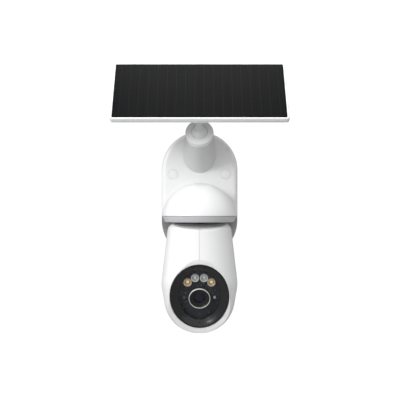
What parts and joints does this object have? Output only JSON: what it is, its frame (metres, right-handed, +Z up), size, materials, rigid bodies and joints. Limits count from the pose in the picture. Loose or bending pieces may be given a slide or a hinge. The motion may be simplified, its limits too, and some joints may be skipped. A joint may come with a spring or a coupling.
{
  "type": "solar-powered pan and tilt security camera",
  "caption": "Wall-mounted outdoor security camera: motorised pan and tilt head under a round hood, with a solar panel on an adjustable ball-jointed arm above.",
  "frame": {"origin": "on the wall face, midway between the two wall screws", "axes": "+Z up, +Y into the wall, -Y out towards the viewer, +X to the viewer's right"},
  "size_m": [0.208, 0.1261, 0.3227],
  "materials": {
    "white_shell": "satin",
    "pale_plastic": "satin",
    "grey_plastic": "matt",
    "stud_plastic": "satin",
    "gear_plastic": "satin",
    "steel": "satin",
    "motor_can": "satin",
    "rubber": "matt",
    "board": "satin",
    "lamp_board": "matt",
    "black_gloss": "gloss",
    "face_glass": "gloss",
    "ring_metal": "satin",
    "black_barrel": "matt",
    "lens_coating": "gloss",
    "bright_cup": "mirror",
    "lamp_warm": "gloss",
    "lamp_clear": "gloss",
    "sensor_dome": "gloss",
    "status_lens": "gloss",
    "speaker_black": "matt",
    "cell_wrap": "satin",
    "silicon": "satin",
    "panel_cover": "gloss"
  },
  "bodies": {
    "housing": {"body_shell": "white_shell", "back_plate": "grey_plastic", "wall_seal": "rubber", "back_plate_screws": "steel", "screw_plugs": "white_shell", "arm_cover_screw": "steel", "arm_tube": "pale_plastic", "arm_screws": "steel", "hood_base": "grey_plastic", "pan_motor": "motor_can", "motor_bracket": "steel", "antenna_board": "board"},
    "turntable": {"turntable": "pale_plastic", "pan_gear": "gear_plastic", "yoke_arm": "grey_plastic", "slot_shutter": "grey_plastic", "tilt_gear": "gear_plastic"},
    "pan_pinion": {"pan_pinion": "gear_plastic"},
    "head": {"head_shell_left": "white_shell", "head_shell_right": "white_shell", "tilt_shaft": "steel", "face_bezel": "black_gloss", "face_window": "face_glass", "face_seal": "rubber", "lens_ring": "ring_metal", "lens_barrel": "black_barrel", "lens_glass": "lens_coating", "lens_elements": "lens_coating", "sensor_board": "board", "led_board": "lamp_board", "reflector_cups": "bright_cup", "white_leds": "lamp_warm", "infrared_leds": "lamp_clear", "light_sensor": "sensor_dome", "status_light": "status_lens", "main_board": "board", "battery_cells": "cell_wrap", "battery_tray": "grey_plastic", "tilt_motor": "motor_can", "speaker": "speaker_black", "microphone": "steel", "head_screws": "steel", "port_board": "board", "memory_card": "speaker_black", "button_board": "board"},
    "tilt_pinion": {"tilt_pinion": "gear_plastic"},
    "power_button": {"power_button": "pale_plastic"},
    "reset_button": {"reset_button": "pale_plastic"},
    "port_plug": {"port_plug": "rubber"},
    "lock_ring": {"lock_ring": "pale_plastic"},
    "swivel_socket": {"swivel_socket": "grey_plastic"},
    "ball_stud": {"ball_stud": "stud_plastic"},
    "solar_panel": {"panel_frame": "white_shell", "panel_back": "pale_plastic", "solar_cells": "silicon", "panel_glass": "panel_cover", "stud_socket": "pale_plastic", "panel_screws": "steel", "panel_inlet": "rubber"}
  },
  "joints": [
    {"name": "pan", "type": "hinge", "parent": "housing", "child": "turntable", "pos_m": [0, -0.082, -0.056], "axis": [0, 0, 1], "range_deg": [-165, 165]},
    {"name": "pan_pinion_spin", "type": "hinge", "parent": "housing", "child": "pan_pinion", "pos_m": [0, -0.056, -0.056], "axis": [0, 0, 1], "range_deg": [-551, 551]},
    {"name": "tilt", "type": "hinge", "parent": "turntable", "child": "head", "pos_m": [0, -0.082, -0.1], "axis": [-1, 0, 0], "range_deg": [-38, 12]},
    {"name": "tilt_pinion_spin", "type": "hinge", "parent": "head", "child": "tilt_pinion", "pos_m": [0, -0.09985, -0.0935], "axis": [-1, 0, 0], "range_deg": [-107.4, 34.6]},
    {"name": "power_press", "type": "slide", "parent": "head", "child": "power_button", "axis": [0.6157, -0.788, 0], "range_m": [0, 0.0008], "stiffness_N_per_m": 900},
    {"name": "reset_press", "type": "slide", "parent": "head", "child": "reset_button", "axis": [0.6157, -0.788, 0], "range_m": [0, 0.0008], "stiffness_N_per_m": 600},
    {"name": "port_plug_pull", "type": "slide", "parent": "head", "child": "port_plug", "axis": [0.6157, 0.788, 0], "range_m": [0, 0.008]},
    {"name": "lock_ring_turn", "type": "hinge", "parent": "housing", "child": "lock_ring", "pos_m": [0, -0.06084, 0.04706], "axis": [0, -0.8988, 0.4384], "range_deg": [0, 180]},
    {"name": "panel_swivel", "type": "hinge", "parent": "housing", "child": "swivel_socket", "pos_m": [0, -0.06084, 0.04706], "axis": [0, -0.8988, 0.4384], "range_deg": [-25, 25]},
    {"name": "panel_lean", "type": "hinge", "parent": "swivel_socket", "child": "ball_stud", "pos_m": [0, -0.06084, 0.04706], "axis": [1, 0, 0], "range_deg": [0, 25]},
    {"name": "panel_turn", "type": "hinge", "parent": "ball_stud", "child": "solar_panel", "pos_m": [0, -0.06084, 0.04706], "axis": [0, -0.5736, 0.8192], "range_deg": [-30, 30]}
  ],
  "couplings": [
    {"joint": "pan_pinion_spin", "follows": "pan", "ratio": -3.3333},
    {"joint": "tilt_pinion_spin", "follows": "tilt", "ratio": 2.8}
  ]
}
